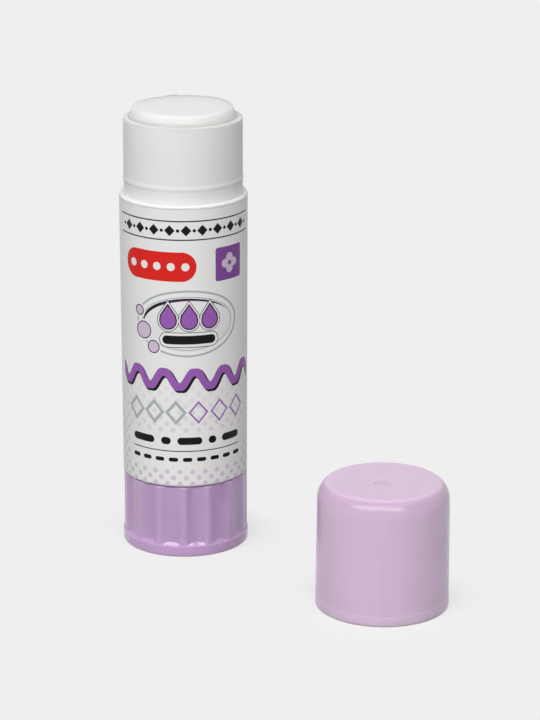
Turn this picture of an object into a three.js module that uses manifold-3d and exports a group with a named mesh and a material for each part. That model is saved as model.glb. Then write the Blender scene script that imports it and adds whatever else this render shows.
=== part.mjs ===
// A twist-up glue stick, standing on its knob with its cap taken off and set down beside it.
// Millimetres, +Z up. The origin is the centre of the knob's flat underside.
// Turning the knob turns the screw, and the screw lifts the carrier and the glue inside the barrel.

import * as THREE from 'three';
import { mergeVertices } from 'three/addons/utils/BufferGeometryUtils.js';
import Module from 'manifold-3d';

const wasm = await Module();
wasm.setup();

// Barrel: the tube that the glue slides in
const boreRadius = 12.7;
const neckWall = 1.16;
const neckLength = 17.45;
const bodyWall = 2.3;
const bodyLength = 68.02;
const bodyDraft = 0.26; // the body's foot is this much smaller in radius than its shoulder
const shoulderRound = 0.7;
const rimRound = 0.5;

// Bead on the neck that the cap snaps over
const beadHeight = 0.24;
const beadLift = 3.08;
const beadLength = 1.4;

// Ribs inside the barrel that keep the carrier and the glue from turning
const ribCount = 3;
const ribWidth = 1.2;
const ribHeight = 0.5;
const ribDrop = 5; // the ribs end this far below the rim
const ribTurn = Math.PI / 6; // angle of the first rib, from +X

// Label: a thin film in a shallow recess round the body
const labelFilm = 0.12;
const labelGap = 0.04;
const labelTopBand = 0.9;
const labelFootBand = 0.35;

// Knob: the fluted base, with a sleeve that snaps into the barrel's foot
const knobHeight = 17.3;
const knobGap = 0.31;
const gripOverhang = 0.04; // the grip's ridges stand this far outside the barrel's foot
const knobFloor = 1.8;
const flangeHeight = 2.67;
const flangeOverhang = 0.21; // the flange stands this far outside the barrel's foot
const flangeRound = 0.4;
const fluteCount = 15;
const fluteDepth = 0.8;
const ridgeWidth = 1.5;
const sleeveWall = 1.2;
const sleeveLength = 4.7;
const sleeveGap = 0.2;
const snapHeight = 0.4;
const snapLength = 1.2;
const snapLift = 2; // middle of the snap bead above the knob's shoulder
const reliefInner = 9.6;
const reliefWidth = 1.6;
const reliefDepth = 0.4;
const bossWall = 1.5;
const bossHeight = 9.2;
const webCount = 6;
const webThickness = 1;
const webHeight = 6;

// Screw: one left-hand thread on a slim core, with a six-sided foot pressed into the knob
const lead = 5;
const coreRadius = 2.6;
const crestRadius = 3.7;
const ridgeRootWidth = 2.3;
const ridgeCrestWidth = 1.3;
const threadStart = 5; // plain shank above the collar
const footFlat = 3.3; // from the axis to a flat of the foot
const footGap = 0.15;
const collarRadius = 6.2;
const collarThickness = 1.4;
const tipRound = 1;

// Carrier: the cup that holds the glue's foot and rides on the screw
const raise = 60; // travel upwards from where it stands now
const retract = 4; // travel downwards, which draws the glue into the neck
const carrierHeight = 11;
const carrierWall = 1.1;
const carrierFloor = 1.3;
const carrierFloorLift = 3.5;
const carrierGap = 0.3;
const startGap = 0.5; // between the knob's sleeve and the carrier at its lowest
const lipGap = 0.12;
const lipHeight = 0.9;
const lipTaper = 0.45;
const hubWall = 1.55;
const hubAboveCup = 0.6;
const threadGap = 0.25;
const engagement = 5.5; // thread still held when the carrier is at the top
const carrierWebs = 4;

// Glue: a solid cylinder cast on the carrier, worn to a slightly smaller top
const gluePast = 2.65; // stands this far above the rim
const glueGap = 0.2;
const glueTopInset = 1.05;
const glueTopRound = 0.35;
const glueFlare = 1.3;
const screwRoom = 0.5;
const tipRoom = 1.5;

// Cap: a translucent shell, set down on its mouth
const capHeight = 29.2;
const capWall = 1.05;
const capTop = 1.1;
const capGap = 0.15; // running gap over the neck
const capDraft = 0.13;
const capCornerWidth = 2.7;
const capCornerHeight = 4.1;
const capBandHeight = 2.4;
const capBandProud = 0.1;
const capInnerRound = 2;
const capMouthBevel = 0.3;
const grooveRoom = 0.35; // room round the bead, along the axis
const gateRadius = 2.1;
const gateDepth = 0.3;
const capPlace = [45.75, -42.52];

// Gap between pieces that touch, and reaches of the forms that are joined and cut within one piece
const seat = 0.3;
const sink = 0.4; // a joined form reaches this deep into its neighbour
const overcut = 0.3; // a cutter runs this far past the surface that it cuts
const spareTurns = 2; // and the thread's cutter this many turns past both ends of the hub

// How finely round pieces are divided
const facets = 48;
const bossFacets = 24;
const fluteFacets = 32;
const threadFacets = 12;

// Heights and radii worked out from the sizes above
const barrelFoot = knobHeight + knobGap;
const shoulder = barrelFoot + bodyLength;
const rim = shoulder + neckLength;
const neckRadius = boreRadius + neckWall;
const shoulderRadius = boreRadius + bodyWall;
const footRadius = shoulderRadius - bodyDraft;
const sleeveTop = knobHeight + sleeveLength;
const sleeveRadius = boreRadius - sleeveGap;
const wellRadius = sleeveRadius - sleeveWall;
const gripRadius = footRadius + gripOverhang;
const flangeRadius = footRadius + flangeOverhang;
const snapMiddle = knobHeight + snapLift;
const carrierRest = sleeveTop + startGap + retract;
const carrierRadius = boreRadius - carrierGap;
const hubRadius = crestRadius + threadGap + hubWall;
const hubTop = carrierHeight + hubAboveCup;
const screwTop = carrierRest + raise + engagement;
const bossTop = knobFloor + bossHeight;
const collarFoot = bossTop + seat;
const shankFoot = collarFoot + collarThickness;
const ribInner = boreRadius - ribHeight;
const ribFoot = sleeveTop + seat;
const ribTop = rim - ribDrop;
const glueRadius = boreRadius - glueGap;
const glueTop = rim + gluePast;
const capInner = neckRadius + capGap;
const capRadius = capInner + capWall;
const hexCorner = 1 / Math.cos(Math.PI / 6); // a hexagon's corner, for a flat at 1 from its middle

// The radius of the body's slightly tapered outside at a height
function bodyRadiusAt(height) {
  return footRadius + bodyDraft * (height - barrelFoot) / bodyLength;
}

// Points of a quarter-round, or any arc, in the plane of a turned profile; angles in degrees
function arc(centreR, centreZ, radiusR, radiusZ, from, to, steps = 4) {
  const points = [];
  for (let i = 0; i <= steps; i += 1) {
    const angle = THREE.MathUtils.degToRad(from + (to - from) * i / steps);
    points.push([centreR + radiusR * Math.cos(angle), centreZ + radiusZ * Math.sin(angle)]);
  }
  return points;
}

// A turned solid. The profile runs anticlockwise, radius to the right and height upwards:
// up the outside and down the inside. One that stays off the axis is closed on itself.
function turned(profile, count = facets) {
  const points = profile.map(([r, z]) => new THREE.Vector2(r, z));
  const onAxis = profile[0][0] === 0;
  if (!onAxis) points.push(points[0].clone());
  return new THREE.LatheGeometry(points, count).rotateX(Math.PI / 2);
}

// A box that runs outwards from the axis, between two radii and two heights, at an angle
function radialBox(width, inner, outer, low, high, angle) {
  const box = new THREE.BoxGeometry(outer - inner, width, high - low);
  box.translate((inner + outer) / 2, 0, (low + high) / 2);
  return box.rotateZ(angle);
}

// A six-sided bar standing on the XY plane, given by the distance from its axis to a flat
function sixSided(flat, low, high) {
  const corner = flat * hexCorner;
  const bar = new THREE.CylinderGeometry(corner, corner, high - low, 6);
  return bar.rotateX(Math.PI / 2).translate(0, 0, (low + high) / 2);
}

// The angle of each copy in a ring of evenly spaced copies
function ring(count, first = 0) {
  return Array.from({ length: count }, (_, i) => first + i * 2 * Math.PI / count);
}

// A solid box in the place of each rib of the barrel
function ribBoxes(width, inner, outer, low, high) {
  return ring(ribCount, ribTurn).map((angle) => solid(radialBox(width, inner, outer, low, high, angle)));
}

// A three.js geometry as a solid that can be joined and cut
function solid(geometry) {
  const bare = geometry.clone();
  bare.deleteAttribute('normal');
  bare.deleteAttribute('uv');
  const welded = mergeVertices(bare, 1e-4);
  const corners = welded.index.array;
  const triangles = [];
  for (let i = 0; i < corners.length; i += 3) {
    const [a, b, c] = [corners[i], corners[i + 1], corners[i + 2]];
    if (a !== b && b !== c && c !== a) triangles.push(a, b, c);
  }
  return new wasm.Manifold(new wasm.Mesh({
    numProp: 3,
    vertProperties: new Float32Array(welded.attributes.position.array),
    triVerts: new Uint32Array(triangles),
  }));
}

// A joined or cut solid as a three.js geometry
function surface(body) {
  const mesh = body.getMesh();
  const geometry = new THREE.BufferGeometry();
  geometry.setAttribute('position', new THREE.BufferAttribute(mesh.vertProperties, 3));
  geometry.setIndex(new THREE.BufferAttribute(mesh.triVerts, 1));
  geometry.computeVertexNormals();
  return geometry;
}

// The raised helix of the thread: a four-sided section carried round the axis, left-handed.
// Grow makes the room for it that a nut needs.
function threadRidge(low, high, grow = 0) {
  const inner = coreRadius - sink;
  const outer = crestRadius + grow;
  const rootHalf = ridgeRootWidth / 2 + grow;
  const crestHalf = ridgeCrestWidth / 2 + grow;
  // the flanks keep their slope down to where the section is buried in the core
  const slope = (rootHalf - crestHalf) / (crestRadius - coreRadius);
  const buriedHalf = rootHalf + slope * (coreRadius + grow - inner);
  const section = [[inner, -buriedHalf], [outer, -crestHalf], [outer, crestHalf], [inner, buriedHalf]];
  const steps = Math.round((high - low) / lead * threadFacets);
  const positions = [];
  for (let i = 0; i <= steps; i += 1) {
    const angle = -i * 2 * Math.PI / threadFacets;
    const height = low + i * lead / threadFacets;
    for (const [r, z] of section) {
      positions.push(r * Math.cos(angle), r * Math.sin(angle), height + z);
    }
  }
  const index = [0, 2, 1, 0, 3, 2];
  for (let i = 0; i < steps; i += 1) {
    for (let k = 0; k < 4; k += 1) {
      const a = i * 4 + k;
      const b = i * 4 + (k + 1) % 4;
      index.push(a, b, a + 4, b, b + 4, a + 4);
    }
  }
  const last = steps * 4;
  index.push(last, last + 1, last + 2, last, last + 2, last + 3);
  const geometry = new THREE.BufferGeometry();
  geometry.setAttribute('position', new THREE.Float32BufferAttribute(positions, 3));
  geometry.setIndex(index);
  return geometry;
}

// Barrel: body, shoulder, neck with its bead, bore with its ribs, and the groove that the knob snaps into
function makeBarrel() {
  const recess = labelFilm + labelGap;
  const panelTop = shoulder - labelTopBand;
  const panelFoot = barrelFoot + labelFootBand;
  const beadFoot = shoulder + beadLift;
  const groove = snapHeight + sleeveGap;
  const grooveHalf = snapLength / 2 + seat;
  const body = solid(turned([
    [boreRadius, barrelFoot],
    [footRadius, barrelFoot],
    [bodyRadiusAt(panelFoot), panelFoot],
    [bodyRadiusAt(panelFoot) - recess, panelFoot],
    [bodyRadiusAt(panelTop) - recess, panelTop],
    [bodyRadiusAt(panelTop), panelTop],
    ...arc(shoulderRadius - shoulderRound, shoulder - shoulderRound, shoulderRound, shoulderRound, 0, 90, 3),
    [neckRadius, shoulder],
    [neckRadius, beadFoot],
    [neckRadius + beadHeight, beadFoot + beadHeight / 2],
    [neckRadius + beadHeight, beadFoot + beadLength / 2],
    [neckRadius, beadFoot + beadLength],
    ...arc(neckRadius - rimRound, rim - rimRound, rimRound, rimRound, 0, 90, 2),
    ...arc(boreRadius + rimRound, rim - rimRound, rimRound, rimRound, 90, 180, 2),
    [boreRadius, snapMiddle + grooveHalf],
    [boreRadius + groove, snapMiddle + snapLength / 2],
    [boreRadius + groove, snapMiddle - snapLength / 2],
    [boreRadius, snapMiddle - grooveHalf],
  ]));
  const ribs = ribBoxes(ribWidth, ribInner, boreRadius + sink, ribFoot, ribTop);
  return surface(ribs.reduce((whole, rib) => whole.add(rib), body));
}

// Label: a film wound round the body, in its recess
function makeLabel() {
  const top = shoulder - labelTopBand - labelGap;
  const foot = barrelFoot + labelFootBand + labelGap;
  return turned([
    [bodyRadiusAt(foot) - labelFilm, foot],
    [bodyRadiusAt(foot), foot],
    [bodyRadiusAt(top), top],
    [bodyRadiusAt(top) - labelFilm, top],
  ]);
}

// Knob: flange, fluted grip and snap sleeve round a well, with a webbed boss that holds the screw's foot
function makeKnob() {
  const cup = solid(turned([
    [0, 0],
    [reliefInner, 0],
    [reliefInner + reliefDepth, reliefDepth],
    [reliefInner + reliefWidth - reliefDepth, reliefDepth],
    [reliefInner + reliefWidth, 0],
    ...arc(flangeRadius - flangeRound, flangeRound, flangeRound, flangeRound, -90, 0, 3),
    ...arc(flangeRadius - flangeRound, flangeHeight - flangeRound, flangeRound, flangeRound, 0, 45, 2),
    [gripRadius, flangeHeight],
    [gripRadius, knobHeight],
    [sleeveRadius, knobHeight],
    [sleeveRadius, snapMiddle - snapLength / 2],
    // the bead rises over its lowest quarter and slopes back over its upper half
    [sleeveRadius + snapHeight, snapMiddle - snapLength / 4],
    [sleeveRadius + snapHeight, snapMiddle],
    [sleeveRadius, snapMiddle + snapLength / 2],
    [sleeveRadius, sleeveTop],
    [wellRadius, sleeveTop],
    [wellRadius, knobFloor],
    [0, knobFloor],
  ]));

  // a round cutter through the ridge's two edges and the flute's deepest point
  const pitch = 2 * Math.PI / fluteCount;
  const halfWidth = gripRadius * Math.sin(pitch / 2) - ridgeWidth / 2;
  const edgeDepth = fluteDepth - gripRadius * (1 - Math.cos(pitch / 2));
  const cutter = (halfWidth ** 2 + edgeDepth ** 2) / (2 * edgeDepth);
  const flutes = ring(fluteCount, -Math.PI / 2 + pitch / 2).map((angle) => {
    const length = knobHeight + overcut - flangeHeight;
    const bar = new THREE.CylinderGeometry(cutter, cutter, length, fluteFacets).rotateX(Math.PI / 2);
    bar.translate(gripRadius - fluteDepth + cutter, 0, flangeHeight + length / 2);
    return solid(bar.rotateZ(angle));
  });

  const bossRadius = (footFlat + footGap) * hexCorner + bossWall;
  const low = knobFloor - sink;
  const boss = solid(turned([[0, low], [bossRadius, low], [bossRadius, bossTop], [0, bossTop]], bossFacets));
  const webs = ring(webCount).map((angle) => (
    solid(radialBox(webThickness, bossRadius - sink, wellRadius + sink, low, knobFloor + webHeight, angle))
  ));
  const socket = solid(sixSided(footFlat + footGap, knobFloor, bossTop + overcut));

  const fluted = flutes.reduce((whole, flute) => whole.subtract(flute), cup);
  const webbed = webs.reduce((whole, web) => whole.add(web), fluted.add(boss));
  return surface(webbed.subtract(socket));
}

// Screw: six-sided foot, collar that stands on the boss, and the threaded stem
function makeScrew() {
  const stem = solid(turned([
    [0, collarFoot],
    [collarRadius, collarFoot],
    [collarRadius, shankFoot],
    [coreRadius, shankFoot],
    [coreRadius, screwTop - tipRound],
    [coreRadius - tipRound, screwTop],
    [0, screwTop],
  ], threadFacets));
  const foot = solid(sixSided(footFlat, knobFloor + seat, collarFoot + sink));
  const threadLow = shankFoot + threadStart;
  const threadHigh = screwTop - tipRound - ridgeRootWidth / 2 - sink;
  return surface(stem.add(foot).add(solid(threadRidge(threadLow, threadHigh))));
}

// Carrier: cup with two wiping lips, notches for the barrel's ribs, webs under its floor and a threaded hub
function makeCarrier() {
  const cupRadius = carrierRadius - carrierWall;
  const lipRadius = boreRadius - lipGap;
  const floorTop = carrierFloorLift + carrierFloor;
  const cup = solid(turned([
    [hubRadius - sink, carrierFloorLift],
    [cupRadius, carrierFloorLift],
    [cupRadius, 0],
    [lipRadius, 0],
    [lipRadius, lipHeight],
    [carrierRadius, lipHeight + lipTaper],
    [carrierRadius, carrierHeight - lipHeight - lipTaper],
    [lipRadius, carrierHeight - lipHeight],
    [lipRadius, carrierHeight],
    [cupRadius, carrierHeight],
    [cupRadius, floorTop],
    [hubRadius - sink, floorTop],
  ]));
  const hub = solid(turned([[0, 0], [hubRadius, 0], [hubRadius, hubTop], [0, hubTop]], bossFacets));
  const webs = ring(carrierWebs, Math.PI / 4).map((angle) => (
    solid(radialBox(webThickness, hubRadius - sink, cupRadius + sink, seat, carrierFloorLift + sink, angle))
  ));
  const notchWidth = ribWidth + 2 * threadGap;
  const notches = ribBoxes(notchWidth, ribInner - threadGap, boreRadius, -overcut, carrierHeight + overcut);

  // the thread is cut in step with the screw, so the cutter starts where the screw's thread does
  const turnsBelow = Math.ceil((carrierRest - shankFoot - threadStart) / lead) - spareTurns;
  const low = shankFoot + threadStart + turnsBelow * lead - carrierRest;
  const boreEnd = hubTop + overcut;
  const bore = solid(turned([
    [0, -overcut],
    [coreRadius + threadGap, -overcut],
    [coreRadius + threadGap, boreEnd],
    [0, boreEnd],
  ], threadFacets));
  const thread = solid(threadRidge(low, hubTop + spareTurns * lead, threadGap));

  const webbed = webs.reduce((whole, web) => whole.add(web), cup.add(hub));
  const notched = notches.reduce((whole, notch) => whole.subtract(notch), webbed);
  return surface(notched.subtract(bore).subtract(thread));
}

// Glue: fills the carrier's cup and the bore, round the screw, with a worn top that stands out of the neck
function makeGlue() {
  const cupRadius = carrierRadius - carrierWall;
  const floor = carrierFloorLift + carrierFloor + seat;
  const aboveCup = carrierHeight + seat;
  const aboveHub = hubTop + seat;
  const top = glueTop - carrierRest;
  const rimLevel = rim - carrierRest;
  const topRadius = boreRadius - glueTopInset;
  const hollow = crestRadius + screwRoom;
  const hollowTop = screwTop - carrierRest + retract + tipRoom;
  const body = solid(turned([
    [0, hollowTop],
    [hollow, hollowTop],
    [hollow, aboveHub],
    [hubRadius + seat, aboveHub],
    [hubRadius + seat, floor],
    [cupRadius - seat, floor],
    [cupRadius - seat, aboveCup],
    [glueRadius, aboveCup],
    [glueRadius, rimLevel],
    ...arc(glueRadius, rimLevel + glueFlare, glueRadius - topRadius, glueFlare, 270, 180, 3).slice(1),
    ...arc(topRadius - glueTopRound, top - glueTopRound, glueTopRound, glueTopRound, 0, 90, 2),
    [0, top],
  ]));
  const channelTop = ribTop - carrierRest + retract + seat;
  const channelFoot = aboveCup - overcut;
  const channels = ribBoxes(ribWidth + 2 * glueGap, ribInner - glueGap, boreRadius, channelFoot, channelTop);
  return surface(channels.reduce((whole, channel) => whole.subtract(channel), body));
}

// Cap: drafted shell with a band round its mouth, a rounded top edge, a snap groove and a gate mark
function makeCap() {
  const topRadius = capRadius - capDraft;
  const ceiling = capHeight - capTop;
  const cornerFoot = capHeight - capCornerHeight;
  const innerTop = capInner - capDraft;
  const grooveFoot = beadLift - grooveRoom;
  const grooveTop = beadLift + beadLength + grooveRoom;
  return turned([
    [0, ceiling],
    ...arc(innerTop - capInnerRound, ceiling - capInnerRound, capInnerRound, capInnerRound, 90, 0, 3),
    [capInner, grooveTop + beadHeight],
    [capInner + beadHeight, grooveTop],
    [capInner + beadHeight, grooveFoot + beadHeight],
    [capInner, grooveFoot],
    [capInner, capMouthBevel],
    [capInner + capMouthBevel, 0],
    [capRadius + capBandProud, 0],
    [capRadius + capBandProud, capBandHeight - capBandProud],
    [capRadius, capBandHeight],
    ...arc(topRadius - capCornerWidth, cornerFoot, capCornerWidth, capCornerHeight, 0, 90, 6),
    [gateRadius, capHeight],
    [gateRadius - gateDepth, capHeight - gateDepth],
    [0, capHeight - gateDepth],
  ]);
}

// Plastics and glue
function plastic(color, roughness) {
  return new THREE.MeshStandardMaterial({ color, roughness, metalness: 0 });
}

const whitePlastic = plastic('#e2e2e2', 0.45);
const lilacPlastic = plastic('#b899c4', 0.42);
const naturalPlastic = plastic('#e9e7e1', 0.5);
const printedFilm = plastic('#e6e6ea', 0.35);
const waxyGlue = plastic('#efeeec', 0.6);
const capPlastic = new THREE.MeshStandardMaterial({
  color: '#d3b8d6', roughness: 0.4, metalness: 0, transparent: true, opacity: 0.9,
});

function piece(name, geometry, material) {
  const mesh = new THREE.Mesh(geometry, material);
  mesh.name = name;
  return mesh;
}

// The barrel, its label, the knob and the screw stand at the origin
const stick = new THREE.Group();
stick.add(piece('barrel', makeBarrel(), whitePlastic));
stick.add(piece('label', makeLabel(), printedFilm));
stick.add(piece('knob', makeKnob(), lilacPlastic));
stick.add(piece('screw', makeScrew(), naturalPlastic));

// The carrier and the glue rise together, so they share a group at the carrier's height
const feed = new THREE.Group();
feed.position.z = carrierRest;
feed.add(piece('carrier', makeCarrier(), naturalPlastic));
feed.add(piece('glue', makeGlue(), waxyGlue));
stick.add(feed);

const cap = piece('cap', makeCap(), capPlastic);
cap.position.set(capPlace[0], capPlace[1], 0);

const glueStick = new THREE.Group();
glueStick.add(stick, cap);

export default glueStick;
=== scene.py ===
"""Twist-up glue stick: the finished surfaces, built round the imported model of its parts.

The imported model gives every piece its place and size. Each operator below makes one piece, or the stage,
as a surface worked out from a few sizes, and gives it a procedural material.
Lengths are in metres, +Z is up, and the origin is the centre of the knob's underside.
"""

import math

import bpy
import bmesh
import numpy as np
from bpy.props import FloatProperty, FloatVectorProperty, PointerProperty
from bpy.types import Operator, Panel, PropertyGroup
from mathutils import Matrix, Vector


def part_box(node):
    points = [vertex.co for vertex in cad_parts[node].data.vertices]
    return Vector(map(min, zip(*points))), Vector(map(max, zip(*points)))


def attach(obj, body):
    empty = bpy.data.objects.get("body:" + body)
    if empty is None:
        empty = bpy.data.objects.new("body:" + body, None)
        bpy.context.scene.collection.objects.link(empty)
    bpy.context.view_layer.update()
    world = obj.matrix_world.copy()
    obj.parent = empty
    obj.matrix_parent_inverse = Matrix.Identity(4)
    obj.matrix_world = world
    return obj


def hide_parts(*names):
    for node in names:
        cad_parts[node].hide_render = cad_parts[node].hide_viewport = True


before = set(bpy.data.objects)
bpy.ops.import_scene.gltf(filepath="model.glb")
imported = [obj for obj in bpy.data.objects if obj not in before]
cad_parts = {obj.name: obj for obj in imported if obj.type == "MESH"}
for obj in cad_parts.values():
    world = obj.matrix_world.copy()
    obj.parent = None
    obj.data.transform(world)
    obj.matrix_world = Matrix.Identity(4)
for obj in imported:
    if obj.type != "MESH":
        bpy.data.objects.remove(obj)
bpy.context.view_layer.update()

bl_info = {
    "name": "Twist-up Glue Stick",
    "version": (1, 0, 0),
    "blender": (4, 5, 0),
    "location": "View3D > Sidebar > Glue Stick",
    "description": "Builds the surfaces of a twist-up glue stick round its packed model",
    "category": "Add Mesh",
}

MM = 0.001
TAU = 2 * math.pi
FRONT = -math.pi / 2  # the label's middle faces -Y
HAIR = 0.01 * MM  # a gap or a step that is too small to see
SMALL_ROUND = 0.1 * MM  # of a profile's corners that name no round of their own
RIBS = 3
FLUTES = 15
WEBS = 6

# How finely each piece is divided round the axis
BARREL_COLUMNS = 384
LABEL_COLUMNS, LABEL_ROWS = 420, 45
FLUTE_COLUMNS = 36  # to one flute
BOSS_COLUMNS = 180
GLUE_COLUMNS = 360
CAP_COLUMNS = 320

BARREL_LOW, BARREL_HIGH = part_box("barrel")
LABEL_LOW, LABEL_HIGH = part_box("label")
KNOB_LOW, KNOB_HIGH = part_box("knob")
SCREW_LOW, SCREW_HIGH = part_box("screw")
CARRIER_LOW, CARRIER_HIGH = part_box("carrier")
GLUE_LOW, GLUE_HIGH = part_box("glue")
CAP_LOW, CAP_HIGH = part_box("cap")
CAP_X, CAP_Y = (CAP_LOW.x + CAP_HIGH.x) / 2, (CAP_LOW.y + CAP_HIGH.y) / 2


def srgb(red, green, blue):
    """The linear colour of a 0 to 255 screen colour: a power curve with a straight foot."""
    shares = np.array([red, green, blue]) / 255
    linear = np.where(shares <= 0.04045, shares / 12.92, ((shares + 0.055) / 1.055) ** 2.4)
    return tuple(float(share) for share in linear)


def length(name, description, millimetres):
    """A length that the user can change."""
    return FloatProperty(
        name=name, description=description, default=millimetres * MM, min=0, precision=5, unit="LENGTH")


def colour(name, description, *screen_colour):
    """A colour that the user can change, from its 0 to 255 screen colour."""
    return FloatVectorProperty(
        name=name, description=description, default=srgb(*screen_colour), min=0, max=1, subtype="COLOR")


class GlueStickSizes(PropertyGroup):
    """Sizes of the stick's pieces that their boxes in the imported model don't give."""

    bore_radius: length("Bore radius", "Radius of the hole that the glue slides in", 12.7)
    neck_radius: length("Neck radius", "Outer radius of the neck under the cap", 13.86)
    neck_length: length("Neck length", "From the shoulder to the rim", 17.7)
    body_draft: length("Body draft", "How much smaller the body is in radius at its foot", 0.26)
    shoulder_width: length("Shoulder width", "How far in the shoulder's round edge reaches", 0.3)
    shoulder_height: length("Shoulder height", "How far down the shoulder's round edge reaches", 0.62)
    bead_lift: length("Bead lift", "From the shoulder to the snap bead's underside", 3.0)
    bead_length: length("Bead length", "Height of the snap bead", 1.5)
    bead_height: length("Bead height", "How far the snap bead stands out", 0.14)
    rib_width: length("Rib width", "Width of the ribs in the bore", 1.2)
    rib_height: length("Rib height", "How far the ribs stand into the bore", 0.5)
    rib_drop: length("Rib drop", "From the rim down to the ribs' tops", 5)
    label_recess: length("Label recess", "Depth of the recess that the label lies in", 0.12)
    film: length("Film", "Thickness of the label", 0.09)
    lap: length("Lap", "How far one end of the label laps over the other", 3.2)
    knob_height: length("Knob height", "From the knob's underside to its shoulder", 17.3)
    grip_radius: length("Grip radius", "Radius of the grip's ridges", 14.78)
    flange_height: length("Flange height", "Height of the flange round the knob's foot", 2.67)
    flute_depth: length("Flute depth", "Depth of the grip's flutes", 0.8)
    ridge_width: length("Ridge width", "Width of the ridges between the flutes", 1.5)
    cove_height: length("Cove height", "Height of the hollow that ends each flute", 0.72)
    cove_reach: length("Cove reach", "How far that hollow runs out onto the flange", 0.5)
    boss_radius: length("Boss radius", "Radius of the boss that holds the screw's foot", 5.48)
    boss_height: length("Boss height", "Height of that boss above the knob's floor", 9.2)
    socket_flat: length("Socket flat", "From the axis to a flat of the boss's six-sided socket", 3.45)
    web_height: length("Web height", "Height of the webs between boss and wall", 6)
    screw_crest: length("Screw crest", "Radius of the screw over its thread", 3.7)
    glue_gap: length("Glue gap", "Between the glue and the bore", 0.05)
    glue_top_radius: length("Glue top radius", "Radius of the worn top of the glue", 11.6)
    glue_flare: length("Glue flare", "Height over which the glue widens below its worn top", 2.45)
    smear_height: length("Smear height", "How far the glue on the rim stands up at its inner edge", 0.14)
    rim_round: length("Rim round", "Round of the rim's outer edge", 0.22)
    cap_wall: length("Cap wall", "Thickness of the cap's side", 1.05)
    cap_draft: length("Cap draft", "How much smaller the cap is in radius at its top", 0.13)
    cap_band: length("Cap band", "Height of the band round the cap's mouth", 2.4)
    corner_width: length("Corner width", "How far in the cap's round top edge reaches", 2.7)
    corner_height: length("Corner height", "How far down the cap's round top edge reaches", 4.1)
    gate_radius: length("Gate radius", "Radius of the moulding mark in the cap's top", 2.1)


class GlueStickColours(PropertyGroup):
    """Colours of the plastics, the glue and the inks."""

    white: colour("White plastic", "The barrel", 233, 233, 232)
    lilac: colour("Lilac plastic", "The knob", 187, 154, 196)
    cap: colour("Cap plastic", "The milky cap", 226, 194, 225)
    natural: colour("Natural plastic", "The screw and the carrier", 232, 230, 224)
    glue: colour("Glue", "The waxy glue", 234, 234, 232)
    paper: colour("Label white", "The label's ground", 230, 230, 228)
    ink: colour("Black ink", "Rules, bars and outlines", 15, 15, 19)
    red: colour("Red ink", "The plate at the top of the label", 216, 38, 32)
    purple: colour("Purple ink", "Ribbon, drops and patch", 148, 92, 172)
    deep_purple: colour("Deep purple ink", "Patch and the thin shapes", 126, 74, 148)
    pale_lilac: colour("Pale lilac ink", "Polka dots and bubbles", 204, 188, 209)
    silver: colour("Silver ink", "Badge and its outline", 168, 176, 181)
    floor: colour("Floor", "The plain floor and backdrop", 239, 239, 239)


# Shapes worked out with numpy


def filleted(corners, steps=6):
    """Rounds the corners of a profile. Each corner is (radius, height) or (radius, height, round), and gives
    way to an arc of that round, or a small one, that touches both its sides. The ends stay as they are."""
    points = []
    for i, (r, z, *own_round) in enumerate(corners):
        here = np.array([r, z])
        round_radius = own_round[0] if own_round else SMALL_ROUND
        if round_radius == 0 or i in (0, len(corners) - 1):
            points.append(here)
            continue
        back = np.array(corners[i - 1][:2]) - here
        ahead = np.array(corners[i + 1][:2]) - here
        back = back / np.linalg.norm(back)
        ahead = ahead / np.linalg.norm(ahead)
        half_angle = math.acos(np.clip(back @ ahead, -1, 1)) / 2
        reach = round_radius / math.tan(half_angle)
        middle = (back + ahead) / np.linalg.norm(back + ahead)
        centre = here + middle * round_radius / math.sin(half_angle)
        start = here + back * reach - centre
        end = here + ahead * reach - centre
        first = math.atan2(start[1], start[0])
        sweep = (math.atan2(end[1], end[0]) - first + math.pi) % TAU - math.pi
        for share in np.linspace(0, 1, steps + 1):
            angle = first + sweep * share
            points.append(centre + round_radius * np.array([math.cos(angle), math.sin(angle)]))
    return np.array(points)


def refined(profile, step):
    """The same profile with points no further apart than step, spaced evenly along each side."""
    parts = []
    for start, end in zip(profile[:-1], profile[1:]):
        pieces = max(1, math.ceil(np.linalg.norm(end - start) / step))
        shares = np.arange(pieces)[:, None] / pieces
        parts.append(start + (end - start) * shares)
    return np.concatenate(parts + [profile[-1:]])


def around(columns):
    """Evenly spaced angles round the axis, one for each column."""
    return np.arange(columns) * TAU / columns


def from_nearest(angle, count, first=0.0):
    """The angle from the nearest of a number of evenly spaced directions, of which one is first."""
    pitch = TAU / count
    return (angle - first + pitch / 2) % pitch - pitch / 2


def oval_corner(radius, top, width, height, lean=1.08, steps=24):
    """A round edge from a side up to a flat top: a quarter of an oval, made a little leaner by raising
    its sine and cosine to a power just over 1."""
    turn = np.linspace(0, math.pi / 2, steps + 1)
    out = radius - width * (1 - np.cos(turn) ** lean)
    up = top - height * (1 - np.sin(turn) ** lean)
    return np.stack([out, up], axis=-1)


def ring_points(radius, height, angle, centre=(0, 0)):
    """Points of a surface round an axis: x = radius cos angle, y = radius sin angle, z = height, where a
    radius or height with one column is the same all round."""
    x = centre[0] + radius * np.cos(angle)
    y = centre[1] + radius * np.sin(angle)
    return np.stack([x, y, np.broadcast_to(height, x.shape)], axis=-1)


def grid_faces(rows, columns, wrap_rows, wrap_columns):
    """Four-sided faces of a grid of points, in rows that may close on themselves both ways."""
    row = np.arange(rows if wrap_rows else rows - 1)[:, None]
    column = np.arange(columns if wrap_columns else columns - 1)[None, :]
    next_row = (row + 1) % rows
    next_column = (column + 1) % columns
    corners = [row * columns + column, row * columns + next_column,
               next_row * columns + next_column, next_row * columns + column]
    shape = (len(row), column.shape[1])
    return np.stack([np.broadcast_to(corner, shape) for corner in corners], axis=-1).reshape(-1, 4)


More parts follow.
